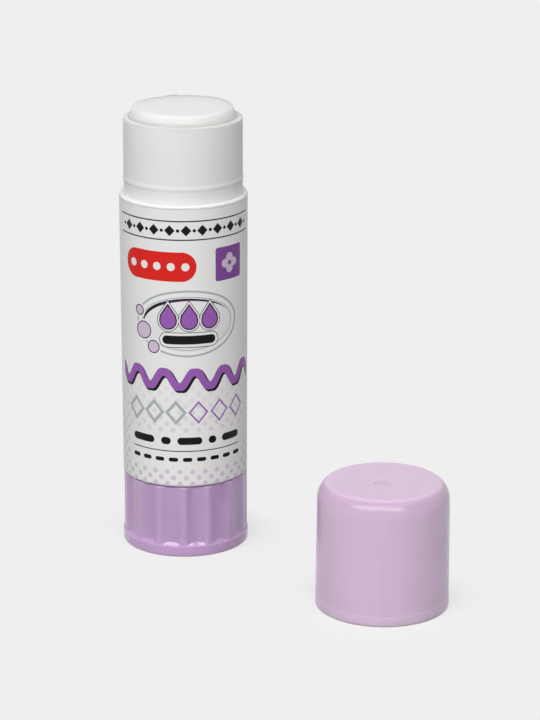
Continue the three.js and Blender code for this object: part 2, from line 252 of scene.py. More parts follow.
def skin(name, grid, wrap_rows=False, sharp=38):
    """A mesh object from a grid of points. Points that meet at poles, seams and ends are merged,
    faces are turned outwards, and edges sharper than an angle in degrees stay sharp."""
    faces = grid_faces(*grid.shape[:2], wrap_rows, True)
    return finish_mesh(name, mesh_of(name, grid, faces), sharp)


def mesh_of(name, points, faces):
    """A mesh from arrays of points and of the numbers of each face's corners."""
    mesh = bpy.data.meshes.new(name)
    mesh.from_pydata(points.reshape(-1, 3).tolist(), [], faces.tolist())
    return mesh


def finish_mesh(name, mesh, sharp):
    """Merges the doubles of a new mesh, turns its faces outwards, smooths it and links its object."""
    work = bmesh.new()
    work.from_mesh(mesh)
    bmesh.ops.remove_doubles(work, verts=work.verts, dist=1e-7)
    bmesh.ops.dissolve_degenerate(work, dist=1e-8, edges=work.edges)
    bmesh.ops.recalc_face_normals(work, faces=work.faces)
    work.to_mesh(mesh)
    work.free()
    mesh.polygons.foreach_set("use_smooth", np.ones(len(mesh.polygons), bool))
    mesh.set_sharp_from_angle(angle=math.radians(sharp))
    return linked(name, mesh)


def linked(name, data):
    """A new object in the scene."""
    made = bpy.data.objects.new(name, data)
    bpy.context.scene.collection.objects.link(made)
    return made


def ripple(angle, height, seed, waves=7, reach=9, pitch=4 * MM):
    """A smooth, uneven field between about -1 and 1: a sum of waves of random direction and phase."""
    random = np.random.default_rng(seed)
    total = np.zeros(np.broadcast(angle, height).shape)
    for _ in range(waves):
        turns = random.integers(1, reach)
        climb = random.normal() / pitch
        total = total + np.sin(turns * angle + climb * height + random.uniform(0, TAU))
    return total / math.sqrt(waves)


def smooth_step(value, low, high):
    """0 below low, 1 above high, and a smooth rise between them."""
    share = np.clip((value - low) / (high - low), 0, 1)
    return share * share * (3 - 2 * share)


# Materials


def shaded(colour_value, factor, lift=0.0):
    """A colour made darker or lighter by a factor and a lift."""
    return tuple(min(1, share * factor + lift) for share in colour_value)


def adds(operation, reflected=False):
    """A method that adds a Math node. The reflected one puts the wire last, so that 1 - mask works."""
    if reflected:
        return lambda wire, other: wire.maths(operation, other, wire)
    return lambda wire, *others: wire.maths(operation, wire, *others)


class Wire:
    """A socket in a node tree. Sums with it add Math nodes, and a plain number may stand on either side."""

    def __init__(self, nodes, socket):
        self.nodes = nodes
        self.socket = socket

    def maths(self, operation, *values):
        return self.nodes.node("ShaderNodeMath", {"operation": operation}, dict(enumerate(values)))

    __add__, __radd__ = adds("ADD"), adds("ADD", True)
    __sub__, __rsub__ = adds("SUBTRACT"), adds("SUBTRACT", True)
    __mul__, __rmul__ = adds("MULTIPLY"), adds("MULTIPLY", True)
    __truediv__ = adds("DIVIDE")
    __pow__ = adds("POWER")
    __abs__ = adds("ABSOLUTE")
    smaller = adds("MINIMUM")
    larger = adds("MAXIMUM")
    root = adds("SQRT")
    floor = adds("FLOOR")
    sine = adds("SINE")
    cosine = adds("COSINE")

    def clamped(self):
        return self.smaller(1).larger(0)

    def folded(self, pitch, count=None):
        """The distance to the nearest multiple of pitch, with its sign, so that what it draws repeats.
        With a count, multiples beyond it on either side are left out."""
        nearest = (self / pitch + 0.5).floor()
        if count is not None:
            nearest = nearest.smaller(count).larger(-count)
        return self - pitch * nearest

    def between(self, low, high):
        """0 below low and 1 above high, with a straight rise between them."""
        return ((self - low) / (high - low)).clamped()


class Nodes:
    """A node tree, and the ways to add nodes to it."""

    def __init__(self, tree):
        self.tree = tree

    def plug(self, socket, value):
        """Links a wire to a socket, or sets a plain value on it."""
        if isinstance(value, Wire):
            self.tree.links.new(value.socket, socket)
        elif socket.type == "RGBA" and len(value) == 3:
            socket.default_value = (*value, 1)
        else:
            socket.default_value = value

    def node(self, kind, settings=None, sockets=None, output=0):
        """Any node: its type, its settings, which are set first, and its sockets' values or links."""
        node = self.tree.nodes.new(kind)
        for key, value in (settings or {}).items():
            setattr(node, key, value)
        for key, value in (sockets or {}).items():
            self.plug(node.inputs[key], value)
        return Wire(self, node.outputs[output])

    def blend(self, mask, below, above):
        """One colour over another where the mask is 1."""
        return self.node("ShaderNodeMix", {"data_type": "RGBA"}, {0: mask, 6: below, 7: above}, 2)

    def seen(self):
        """1 for what the camera sees straight, in a glossy surface or through a clear one, and 0 for
        the light that goes from surface to surface."""
        path = self.node("ShaderNodeLightPath").socket.node
        kinds = ("Is Camera Ray", "Is Glossy Ray", "Is Transmission Ray")
        camera, glossy, through = (Wire(self, path.outputs[kind]) for kind in kinds)
        return camera.larger(glossy).larger(through)

    def parts(self, vector):
        """The three components of a vector."""
        split = self.node("ShaderNodeSeparateXYZ", sockets={0: vector}).socket.node
        return [Wire(self, socket) for socket in split.outputs]


class Finish(Nodes):
    """A material with one Principled shader, whose sockets are set by name."""

    def __init__(self, name, sockets):
        self.material = bpy.data.materials.new(name)
        self.material.use_nodes = True
        super().__init__(self.material.node_tree)
        self.shader = self.tree.nodes["Principled BSDF"]
        for socket, value in sockets.items():
            self.set(socket, value)

    def set(self, socket, value):
        """Sets or links one of the Principled shader's sockets."""
        self.plug(self.shader.inputs[socket], value)

    def tint(self, colour_value, mask, strength):
        """A colour made darker by up to strength where the mask is 1."""
        return self.blend(mask, colour_value, shaded(colour_value, 1 - strength))

    def place(self):
        """The point on the piece, in metres, in the stick's own frame."""
        return self.node("ShaderNodeTexCoord", output="Object")

    def scaled(self, vector, factors):
        """A vector with each component multiplied by its own factor."""
        return self.node("ShaderNodeVectorMath", {"operation": "MULTIPLY"}, {0: vector, 1: factors})

    def noise(self, vector, scale, detail=3):
        """Fractal noise between 0 and 1; scale is in lumps to the metre."""
        return self.node("ShaderNodeTexNoise", {}, {"Vector": vector, "Scale": scale, "Detail": detail})

    def patches(self, vector, scale, low, high, detail=3):
        """Patches that are 1 where noise lies above high, and fade to 0 where it falls to low."""
        return self.noise(vector, scale, detail).between(low, high)

    def uneven(self, vector, scale, middle, spread, detail=3):
        """Noise round a middle value."""
        return middle + spread * (self.noise(vector, scale, detail) - 0.5)

    def bump(self, height, distance, strength, normal=None):
        """A normal that follows a height field; distance is its depth in metres."""
        below = {} if normal is None else {"Normal": normal}
        return self.node(
            "ShaderNodeBump", {}, {"Height": height, "Distance": distance, "Strength": strength, **below})

    def scratches(self, vector, scale, stretch, width):
        """Fine scratches: the thin lines where stretched noise crosses its middle value."""
        lumps = self.noise(self.scaled(vector, stretch), scale, detail=1)
        return 1 - (abs(lumps - 0.5) / width).clamped()


def moulded_plastic(name, base, subsurface, radius, gloss=1.0, blur=0.06):
    """Smooth moulded plastic: a satin body under a sharper skin, faint clouding and light handling marks in
    the colour, a fine orange peel, and a roughness that varies a little."""
    finish = Finish(name, {
        "IOR": 1.49, "Specular IOR Level": 0.1,
        "Coat Weight": gloss, "Coat Roughness": blur, "Coat IOR": 1.49,
        "Subsurface Weight": subsurface, "Subsurface Radius": radius, "Subsurface Scale": 1})
    place = finish.place()
    specks = finish.patches(place, 2600, 0.68, 0.8, detail=1)
    marks = finish.patches(place, 130, 0.35, 0.75, detail=2) + specks * 0.6
    finish.set("Base Color", finish.tint(base, marks, 0.03))
    finish.set("Roughness", finish.uneven(place, 420, 0.36, 0.09, detail=4))
    finish.set("Normal", finish.bump(finish.noise(place, 1500, detail=2), 0.02 * MM, 0.3))
    return finish


def white_plastic(colours, sizes):
    """The barrel's white plastic: it is painted paler near the rim, a painted glow that stands in for light
    from the glue, and fine scratches run round the neck where the cap slides on and off."""
    finish = moulded_plastic(
        "white_plastic", colours.white, 1, (1.7 * MM, 1.65 * MM, 1.5 * MM), gloss=0.05, blur=0.15)
    place = finish.place()
    height = finish.parts(place)[2]
    shoulder = BARREL_HIGH.z - sizes.neck_length
    on_neck = height.between(shoulder + 1 * MM, shoulder + 3 * MM)
    # painted glow: towards the rim the colour is blended to a paler white, standing in for light from the
    # glue
    glow_near_rim = height.between(shoulder + 5 * MM, BARREL_HIGH.z) ** 2
    clouded = finish.tint(colours.white, finish.patches(place, 130, 0.35, 0.75, detail=2), 0.02)
    finish.set("Base Color", finish.blend(glow_near_rim * 0.7, clouded, shaded(colours.white, 0.7, 0.3)))
    scuffs = finish.scratches(place, 700, (1, 1, 0.06), 0.012) * on_neck
    scuffs = scuffs * finish.patches(place, 260, 0.5, 0.62, detail=1)
    finish.set("Roughness", finish.uneven(place, 420, 0.38, 0.08) + 0.2 * scuffs)
    return finish.material


def lilac_plastic(colours, sizes):
    """The knob's lilac plastic, painted paler along its ridges: a painted highlight where they catch the
    light.
    """
    finish = moulded_plastic("lilac_plastic", colours.lilac, 0.35, (1.1 * MM, 0.7 * MM, 1 * MM))
    place = finish.place()
    x, y, _ = finish.parts(place)
    # painted highlight: near the grip radius the ridges' crests are blended to a paler lilac
    crest = (x * x + y * y).root().between(sizes.grip_radius - 0.35 * MM, sizes.grip_radius)
    clouded = finish.tint(colours.lilac, finish.patches(place, 160, 0.35, 0.7), 0.04)
    finish.set("Base Color", finish.blend(crest * 0.6, clouded, shaded(colours.lilac, 1.08, 0.01)))
    return finish.material


def natural_plastic(colours):
    """Uncoloured plastic for the pieces inside."""
    return moulded_plastic("natural_plastic", colours.natural, 0.25, (1.5 * MM, 1.4 * MM, 1.2 * MM)).material


def milky_plastic(colours):
    """The cap's milky plastic, which light sinks well into: its round corner is painted darker than the rest,
    a painted shade along it. Fine lines run down its side from the mould, and its top has short scratches and
    specks."""
    finish = moulded_plastic(
        "milky_plastic", colours.cap, 1, (2.6 * MM, 1.8 * MM, 2.5 * MM), gloss=0.55, blur=0.04)
    place = finish.place()
    x, y, height = finish.parts(place)
    on_top = height.between(CAP_HIGH.z - 0.5 * MM, CAP_HIGH.z - 0.1 * MM)
    # painted shade: the band of the round corner is darkened to 78 % of the cap's colour
    corner_shade = height.between(CAP_HIGH.z - 4.2 * MM, CAP_HIGH.z - 1.6 * MM) * (1 - on_top)
    clouds = finish.patches(finish.scaled(place, (1, 1, 0.4)), 110, 0.3, 0.75)
    drawn = finish.patches(finish.scaled(place, (1, 1, 0.02)), 1500, 0.45, 0.7, detail=1)
    side = finish.tint(colours.cap, clouds * 0.7 + drawn * 0.6, 0.035)
    side = finish.blend(corner_shade, side, shaded(colours.cap, 0.78))
    across = x - CAP_X + 1.2 * MM
    along = y - CAP_Y + 7.8 * MM
    speck = 1 - (across * across + along * along).root().between(0.1 * MM, 0.3 * MM)
    marked = (finish.patches(place, 900, 0.78, 0.84, detail=0) * 0.5).larger(speck * on_top)
    top = finish.blend(marked, shaded(colours.cap, 0.92), shaded(colours.cap, 0.7))
    finish.set("Base Color", finish.blend(on_top, side, top))
    lines = finish.scratches(place, 380, (1, 0.35, 1), 0.006) * on_top
    lines = lines * finish.patches(place, 180, 0.52, 0.6, detail=1)
    finish.set("Roughness", finish.uneven(place, 350, 0.36, 0.08) + 0.18 * lines)
    return finish.material


def waxy_glue(name, base, depth):
    """Waxy glue: cloudy white, faintly warmer in tone and painted darker low down, partly a painted shade on
    its lit side, with smears and pits from being rubbed on paper.
    Light sinks into it by about the depth given, which is less where it is only a thin film."""
    finish = Finish(name, {
        "IOR": 1.45, "Specular IOR Level": 0.15, "Coat Weight": 0.1, "Coat Roughness": 0.3,
        "Subsurface Weight": 1, "Subsurface Scale": 1,
        "Subsurface Radius": (depth, 0.95 * depth, 0.85 * depth)})
    place = finish.place()
    height = finish.parts(place)[2]
    # low down the glue is tinted warmer and painted darker: partly its own tone, partly painted shade on its
    # lit side
    warm_and_shaded = tuple(share * factor for share, factor in zip(base, (0.9, 0.89, 0.86)))
    low = 1 - height.between(BARREL_HIGH.z - 0.5 * MM, GLUE_HIGH.z - 0.8 * MM)
    clouded = finish.tint(base, finish.patches(place, 220, 0.3, 0.75), 0.03)
    finish.set("Base Color", finish.blend(low * 0.8, clouded, warm_and_shaded))
    smears = finish.noise(finish.scaled(place, (0.35, 1, 1)), 900, detail=4)
    pits = finish.patches(place, 1900, 0.66, 0.74, detail=1)
    finish.set("Roughness", 0.42 + 0.25 * (smears - 0.5))
    finish.set("Normal", finish.bump(1 - pits, 0.05 * MM, 0.4, finish.bump(smears, 0.12 * MM, 0.5)))
    return finish.material


# The label's print. Every shape is a signed distance in millimetres, less than 0 inside it.

MIDDLE = 1  # the drawing's middle lies this far to the right of the front
HALF_LENGTH = 19  # of the rows that run across the drawing


class Print:
    """A drawing on the label. Coordinates are millimetres: u round the body from the middle of its front,
    v up from the body's foot. Each layer is laid over the ones before it."""

    SOFT = 0.09  # width of a printed edge

    def __init__(self, nodes, u, v, ground):
        self.nodes = nodes
        self.u = u
        self.v = v
        self.colour = ground

    def cover(self, distance):
        """1 inside a shape and 0 outside it, with a soft printed edge."""
        return (0.5 - distance / self.SOFT).clamped()

    def lay(self, mask, ink):
        """Lays ink over the drawing where the mask is 1."""
        self.colour = self.nodes.blend(mask, self.colour, ink)

    def fill(self, distance, ink):
        """Fills a shape with ink."""
        self.lay(self.cover(distance), ink)

    def disc(self, x, y, radius):
        return (x * x + y * y).root() - radius

    def bar(self, x, y, half_width, half_height, round_radius):
        """A box with round corners."""
        across = abs(x) - (half_width - round_radius)
        up = abs(y) - (half_height - round_radius)
        outside = (across.larger(0) ** 2 + up.larger(0) ** 2).root()
        return outside + across.larger(up).smaller(0) - round_radius

    def diamond(self, x, y, half_width, half_height):
        slope = half_width * half_height / math.hypot(half_width, half_height)
        return (abs(x) / half_width + abs(y) / half_height - 1) * slope

    def oval(self, x, y, half_width, half_height):
        """The usual close estimate: k (k - 1) / g, from the scaled point's length and its gradient's."""
        k = ((x / half_width) ** 2 + (y / half_height) ** 2).root()
        g = ((x / half_width ** 2) ** 2 + (y / half_height ** 2) ** 2).root().larger(1e-4)
        return k * (k - 1) / g

    def drop(self, x, y, radius):
        """A drop: a disc with a pointed top."""
        point = self.diamond(x, y - radius * 0.62, radius * 0.92, radius * 1.35)
        return self.disc(x, y, radius).smaller(point)

    def wave(self, x, y, height, pitch, half_width):
        """A stroke along a sine curve; the distance is the height above the curve, less its slope."""
        turn = x * (TAU / pitch)
        slope = turn.cosine() * (height * TAU / pitch)
        return abs(y - turn.sine() * height) / (slope * slope + 1).root() - half_width


def draw_dots(page, colours):
    """Polka dots in staggered rows, strongest at the foot and gone halfway up, with a clear space for
    the bars."""
    pitch, rise, radius = 3.07, 1.475, 0.62
    u = page.u + 0.86
    v = page.v - 0.7
    even = page.disc(u.folded(pitch), v.folded(2 * rise), radius)
    odd = page.disc((u + pitch / 2).folded(pitch), (v + rise).folded(2 * rise), radius)
    fade = 0.85 * (1 - page.v.between(2, 31))
    clear = page.bar(page.u - MIDDLE, page.v - 9, 16.4, 4.4, 1.2)
    page.lay(page.cover(even.smaller(odd)) * fade * (1 - page.cover(clear)), colours.pale_lilac)


def draw_border(page, colours):
    """Two thin black rules near the top, with a row of black diamonds and small dots between them."""
    x = page.u - MIDDLE
    y = page.v - 62.1
    ends = abs(x) - HALF_LENGTH
    page.fill((abs(abs(y) - 2.2) - 0.15).larger(ends), colours.ink)
    pitch = 3.84
    row = page.diamond(x.folded(pitch, 4), y, 1.25, 1.3)
    row = row.smaller(page.disc((abs(x) - pitch / 2).folded(pitch, 4), y, 0.4))
    page.fill(row, colours.ink)


def draw_plate(page, colours):
    """Red plate with round ends and a row of white spots."""
    x = page.u + 6
    y = page.v - 53.5
    page.fill(page.bar(x, y, 9.4, 3.5, 3.5), colours.red)
    page.fill(page.disc(x.folded(3.4, 2), y, 0.95), colours.paper)


def draw_patch(page, colours):
    """Purple patch with a pale flower of four petals round a hole."""
    x = page.u - 12.2
    y = page.v - 53.5
    page.fill(page.bar(x, y, 4.1, 4, 0.6), colours.deep_purple)
    petal = 1.35
    flower = page.disc(abs(x) - petal, y, 1.05).smaller(page.disc(x, abs(y) - petal, 1.05))
    flower = flower.larger(0.55 - (x * x + y * y).root())
    page.fill(flower, colours.pale_lilac)


def draw_badge(page, colours):
    """Oval badge with a double silver outline: an arc along its top, three purple drops over a black bar,
    and three pale bubbles on its left edge."""
    x = page.u - 1.2
    y = page.v - 39.9
    oval = page.oval(x, y, 12.6, 7.6)
    page.fill(oval - 0.5, colours.paper)
    page.fill(abs(oval - 0.2) - 0.24, colours.silver)
    inner = oval + 1.2
    page.fill(inner, page.nodes.blend(y.between(-7, 7), shaded(colours.silver, 0.5, 0.5), colours.paper))
    page.fill(abs(inner) - 0.12, colours.silver)

    arc = (oval + 1.5).larger(-1 * page.oval(x - 0.5, y + 1.2, 11.6, 6.7))
    page.fill(arc, colours.ink)
    glint = (oval + 1.9).larger(-1 * page.oval(x - 0.7, y + 0.9, 11.3, 6.4))
    page.lay(page.cover(glint) * x.between(-9, 6), colours.purple)

    drops = page.drop((x - 0.4).folded(5, 1), y - 0.7, 1.85)
    bar = page.bar(x - 0.4, y + 3.9, 6.4, 1.05, 1.05)
    both = drops.smaller(bar)
    page.fill(both - 0.78, colours.ink)
    page.fill(both - 0.62, colours.paper)
    page.fill(drops - 0.3, colours.ink)
    page.fill(drops, colours.purple)
    page.fill(bar, colours.ink)

    for bubble_x, bubble_y, radius in ((-11, -2.2, 1.9), (-8.3, -5.9, 1.35), (-12.2, 2.4, 1.05)):
        bubble = page.disc(x - bubble_x, y - bubble_y, radius)
        page.fill(bubble - 0.65, colours.paper)
        page.fill(bubble - 0.25, colours.ink)
        page.fill(bubble, colours.pale_lilac)


def draw_ribbon(page, colours):
    """Purple ribbon in waves, with a black shadow to its lower right."""
    x = page.u - MIDDLE
    y = page.v - 26.4
    height, pitch, half_width = 1.75, 7.4, 0.95
    shadow = page.wave(x - 0.45, y + 0.42, height, pitch, half_width + 0.1)
    page.fill(shadow.larger(abs(x - 0.45) - HALF_LENGTH), colours.ink)
    ribbon = page.wave(x, y, height, pitch, half_width)
    page.fill(ribbon.larger(abs(x) - HALF_LENGTH), colours.purple)


def draw_frames(page, colours):
    """A row of thin diamond outlines: broad silver strokes on the left, fine purple ones on the right."""
    x = page.u - MIDDLE
    y = page.v - 18.3
    pitch = 5.4
    outline = abs(page.diamond((abs(x) - pitch / 2).folded(pitch, 2), y, 2.15, 2.5))
    page.fill((outline - 0.36).larger(x), colours.silver)
    page.fill((outline - 0.2).larger(-1 * x), colours.purple)


def draw_bars(page, colours):
    """Black bars with round ends over a thin rule and a row of small dashes."""
    x = page.u - MIDDLE
    for middle, half_width in ((-11.4, 3.2), (-5.2, 1.2), (0.6, 3), (6.2, 1), (11.6, 2.8)):
        page.fill(page.bar(x - middle, page.v - 11.3, half_width, 0.9, 0.9), colours.ink)
    half_length = 14.8
    page.fill((abs(page.v - 8.8) - 0.12).larger(abs(x) - half_length), colours.ink)
    page.fill(page.bar(x.folded(3.4, 4), page.v - 6.7, 1.15, 0.5, 0.5), colours.ink)


def draw_back(page, colours):
    """Fine grey lines in a framed block on each side of the seam, as plain as small print without words."""
    x = abs(page.u) - 34
    lines = page.bar(x, (page.v - 34).folded(2.2, 7), 7.2, 0.32, 0.3)
    page.lay(page.cover(lines) * 0.75, colours.silver)
    page.fill(abs(page.bar(x, page.v - 34, 9, 19, 1.2)) - 0.13, colours.deep_purple)


def printed_film(colours):
    """The label's film: a generic print under a thin clear coat, slightly uneven as wound film is."""
    finish = Finish("printed_film", {
        "IOR": 1.5, "Specular IOR Level": 0.08, "Coat Weight": 0.1, "Coat Roughness": 0.12})
    u, v, _ = finish.parts(finish.node("ShaderNodeUVMap", {"uv_map": "label_mm"}))
    page = Print(finish, u, v, colours.paper)
    for draw in (draw_dots, draw_border, draw_plate, draw_patch, draw_badge, draw_ribbon, draw_frames,
                 draw_bars, draw_back):
        draw(page, colours)
    place = finish.place()
    grain = finish.noise(place, 2400, detail=2)
    page.lay(grain.between(0.62, 0.8) * 0.05, colours.ink)
    finish.set("Base Color", page.colour)
    finish.set("Roughness", finish.uneven(place, 300, 0.4, 0.1))
    swell = finish.noise(finish.scaled(place, (1, 1, 0.3)), 160, detail=1)
    finish.set("Normal", finish.bump(grain, 0.01 * MM, 0.2, finish.bump(swell, 0.12 * MM, 0.35)))
    return finish.material


# Pieces


def sizes_and_colours():
    """The user's sizes and colours."""
    return bpy.context.scene.glue_stick_sizes, bpy.context.scene.glue_stick_colours


def hand_over(piece, body, material, node=None):
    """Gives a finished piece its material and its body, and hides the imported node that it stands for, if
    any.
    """
    piece.data.materials.append(material)
    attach(piece, body)
    if node:
        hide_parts(node)


def on_ribs(angle, radius, half_width, soft=0.08 * MM):
    """1 on the bore's ribs and 0 between them: the way round the wall from the nearest rib's middle,
    through a smooth step at half the rib's width."""
    from_rib = np.abs(from_nearest(angle, RIBS, FRONT)) * radius
    return 1 - smooth_step(from_rib, half_width - soft, half_width + soft)


def body_radius(sizes, height):
    """Radius of the barrel's body: a straight taper from the shoulder to the foot."""
    shoulder = BARREL_HIGH.z - sizes.neck_length
    share = (shoulder - height) / (shoulder - BARREL_LOW.z)
    return BARREL_HIGH.x - sizes.body_draft * share


class GLUESTICK_OT_barrel(Operator):
    """The white barrel, turned from one profile, with three ribs in its bore"""

    bl_idname = "glue_stick.barrel"
    bl_label = "Barrel"

    def execute(self, context):
        s, colours = sizes_and_colours()
        bore, neck_radius = s.bore_radius, s.neck_radius
        foot, rim = BARREL_LOW.z, BARREL_HIGH.z
        shoulder = rim - s.neck_length
        bead = shoulder + s.bead_lift
        panel_foot, panel_top = LABEL_LOW.z - HAIR, LABEL_HIGH.z + HAIR
        foot_radius, top_radius = body_radius(s, panel_foot), body_radius(s, panel_top)
        groove = 0.6 * MM
        groove_z = foot + 1.7 * MM
        rib_foot = KNOB_HIGH.z + 0.3 * MM
        rib_top = rim - s.rib_drop
        rib_slope = 0.2 * MM
        body = filleted([
            (bore, foot + 0.6 * MM),
            (bore, foot, 0.15 * MM),
            (body_radius(s, foot), foot, 0.12 * MM),
            (foot_radius, panel_foot, HAIR),
            (foot_radius - s.label_recess, panel_foot, 0.02 * MM),
            (top_radius - s.label_recess, panel_top, 0.02 * MM),
            (top_radius, panel_top),
        ])
        shoulder_edge = oval_corner(BARREL_HIGH.x, shoulder, s.shoulder_width, s.shoulder_height)
        neck = filleted([
            (BARREL_HIGH.x - s.shoulder_width, shoulder),
            (neck_radius, shoulder, 0.05 * MM),
            (neck_radius, bead),
            (neck_radius + s.bead_height, bead + 0.35 * s.bead_length, 0.2 * MM),
            (neck_radius + s.bead_height, bead + 0.55 * s.bead_length, 0.2 * MM),
            (neck_radius, bead + s.bead_length, 0.5 * MM),
            (neck_radius, rim, s.rim_round),
            (bore, rim, 0.4 * MM),
            (bore, rib_top + rib_slope, 0),
            (bore, rib_top, 0),
            (bore, rib_foot, 0),
            (bore, rib_foot - rib_slope, 0),
            (bore, groove_z + groove + 0.8 * MM),
            (bore + groove, groove_z + groove, 0.15 * MM),
            (bore + groove, groove_z - groove, 0.15 * MM),
            (bore, groove_z - groove - 0.3 * MM),
            (bore, foot + 0.6 * MM),
        ])
        profile = refined(np.concatenate([body, shoulder_edge, neck[1:]]), 1.5 * MM)[:-1]
        angle = around(BARREL_COLUMNS)
        radius, height = profile[:, :1], profile[:, 1:]
        in_bore = np.abs(radius - bore) < HAIR
        in_bore &= (height > rib_foot - HAIR) & (height < rib_top + HAIR)
        radius = radius - s.rib_height * in_bore * on_ribs(angle, bore, s.rib_width / 2)
        piece = skin("barrel_tube", ring_points(radius, height, angle), wrap_rows=True)
        hand_over(piece, "barrel", white_plastic(colours, s), "barrel")
        return {"FINISHED"}


class GLUESTICK_OT_label(Operator):
    """The printed film round the body, whose end laps over its start at the back"""

    bl_idname = "glue_stick.label"
    bl_label = "Label"

    def execute(self, context):
        s, colours = sizes_and_colours()
        up = np.linspace(LABEL_LOW.z, LABEL_HIGH.z, LABEL_ROWS)
        body = body_radius(s, up)[:, None]
        lap_angle = s.lap / BARREL_HIGH.x
        around_back = np.linspace(-math.pi, math.pi + lap_angle, LABEL_COLUMNS)
        # the last stretch climbs onto the film that it laps over
        climb = smooth_step(around_back, math.pi - 0.08, math.pi - 0.005) * s.film
        inner = body - s.label_recess + HAIR + climb
        # where it laps, it is pressed flat enough to stay level with the body
        outer = np.minimum(inner + s.film, body - HAIR / 2)
        # a section round the film: up its outside and down its inside, with a closed edge at each end
        radius = np.concatenate([outer, inner[::-1]])
        height = np.concatenate([up, up[::-1]])[:, None]
        grid = ring_points(radius, height, around_back + FRONT)
        piece = self.film(grid, height, around_back)
        hand_over(piece, "barrel", printed_film(colours), "label")
        return {"FINISHED"}

    def film(self, grid, height, turn):
        """The film as a closed sheet, with its print map: millimetres round the body and up from its foot."""
        rows, columns = grid.shape[:2]
        faces = grid_faces(rows, columns, True, False)
        ends = [self.end_faces(rows, columns, 0), self.end_faces(rows, columns, columns - 1)[:, ::-1]]
        mesh = mesh_of("label_film", grid, np.concatenate([faces, *ends]))
        print_u = np.broadcast_to(turn * BARREL_HIGH.x / MM, (rows, columns)).ravel()
        print_v = np.broadcast_to((height - BARREL_LOW.z) / MM, (rows, columns)).ravel()
        corner = np.zeros(len(mesh.loops), int)
        mesh.loops.foreach_get("vertex_index", corner)
        layer = mesh.uv_layers.new(name="label_mm")
        layer.data.foreach_set("uv", np.stack([print_u[corner], print_v[corner]], axis=-1).ravel())
        return finish_mesh("label_film", mesh, 50)

    def end_faces(self, rows, columns, column):
        """The narrow faces that close the film's cut end, from each outside point to the inside one by it."""
        outside = np.arange(rows // 2 - 1)
        inside = rows - 1 - outside
        corners = [outside, outside + 1, inside - 1, inside]
        return np.stack(corners, axis=-1) * columns + column


